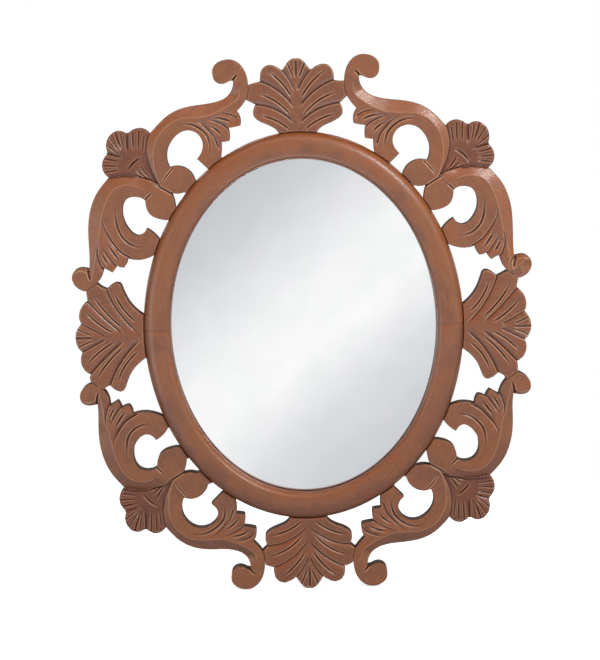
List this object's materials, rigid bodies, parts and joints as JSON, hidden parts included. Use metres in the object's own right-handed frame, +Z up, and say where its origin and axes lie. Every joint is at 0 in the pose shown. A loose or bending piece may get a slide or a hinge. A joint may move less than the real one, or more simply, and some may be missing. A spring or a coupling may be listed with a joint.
{
  "type": "oval wall mirror",
  "caption": "Oval wall mirror in a carved brown wooden frame of pierced scrolls, palmettes and shells, with a hanger ring and turn buttons on its back.",
  "frame": {"origin": "centre of the oval, on the flat back of the frame", "axes": "+Z up, +Y to the rear towards the wall, the carved front faces -Y"},
  "size_m": [0.52, 0.0295, 0.6111],
  "materials": {
    "carved_wood": "brown stain under a satin lacquer",
    "joint_wood": "bare planed hardwood",
    "clear_glass": "polished float glass",
    "silvering": "silver coat with a grey paint back",
    "hardboard": "bare hardboard",
    "plated_steel": "zinc plating",
    "bumper_rubber": "matt"
  },
  "bodies": {
    "frame": {"ring_upper_right": "carved_wood", "ring_upper_left": "carved_wood", "ring_lower_left": "carved_wood", "ring_lower_right": "carved_wood", "joint_tongues": "joint_wood", "corner_upper_right": "carved_wood", "corner_upper_left": "carved_wood", "corner_lower_left": "carved_wood", "corner_lower_right": "carved_wood", "top_shell": "carved_wood", "bottom_shell": "carved_wood", "right_shell": "carved_wood", "left_shell": "carved_wood", "frame_dowels": "joint_wood", "mirror_glass": "clear_glass", "mirror_silvering": "silvering", "backing_board": "hardboard", "button_screws": "plated_steel", "hanger_strap": "plated_steel", "hanger_screws": "plated_steel", "wall_bumpers": "bumper_rubber"},
    "turn_button_1": {"turn_button_1": "plated_steel"},
    "turn_button_2": {"turn_button_2": "plated_steel"},
    "turn_button_3": {"turn_button_3": "plated_steel"},
    "turn_button_4": {"turn_button_4": "plated_steel"},
    "turn_button_5": {"turn_button_5": "plated_steel"},
    "turn_button_6": {"turn_button_6": "plated_steel"},
    "turn_button_7": {"turn_button_7": "plated_steel"},
    "turn_button_8": {"turn_button_8": "plated_steel"},
    "hanger_ring": {"hanger_ring": "plated_steel"}
  },
  "joints": [
    {"name": "turn_button_1_pivot", "type": "hinge", "parent": "frame", "child": "turn_button_1", "pos_m": [0.15521, 0.0007, 0.0796], "axis": [0, 1, 0], "continuous": true},
    {"name": "turn_button_2_pivot", "type": "hinge", "parent": "frame", "child": "turn_button_2", "pos_m": [0.06429, 0.0007, 0.19217], "axis": [0, 1, 0], "continuous": true},
    {"name": "turn_button_3_pivot", "type": "hinge", "parent": "frame", "child": "turn_button_3", "pos_m": [-0.06429, 0.0007, 0.19217], "axis": [0, 1, 0], "continuous": true},
    {"name": "turn_button_4_pivot", "type": "hinge", "parent": "frame", "child": "turn_button_4", "pos_m": [-0.15521, 0.0007, 0.0796], "axis": [0, 1, 0], "continuous": true},
    {"name": "turn_button_5_pivot", "type": "hinge", "parent": "frame", "child": "turn_button_5", "pos_m": [-0.15521, 0.0007, -0.0796], "axis": [0, 1, 0], "continuous": true},
    {"name": "turn_button_6_pivot", "type": "hinge", "parent": "frame", "child": "turn_button_6", "pos_m": [-0.06429, 0.0007, -0.19217], "axis": [0, 1, 0], "continuous": true},
    {"name": "turn_button_7_pivot", "type": "hinge", "parent": "frame", "child": "turn_button_7", "pos_m": [0.06429, 0.0007, -0.19217], "axis": [0, 1, 0], "continuous": true},
    {"name": "turn_button_8_pivot", "type": "hinge", "parent": "frame", "child": "turn_button_8", "pos_m": [0.15521, 0.0007, -0.0796], "axis": [0, 1, 0], "continuous": true},
    {"name": "hanger_ring_swing", "type": "hinge", "parent": "frame", "child": "hanger_ring", "pos_m": [0, 0.00248, 0.2615], "axis": [-1, 0, 0], "range_deg": [-4, 180]}
  ]
}
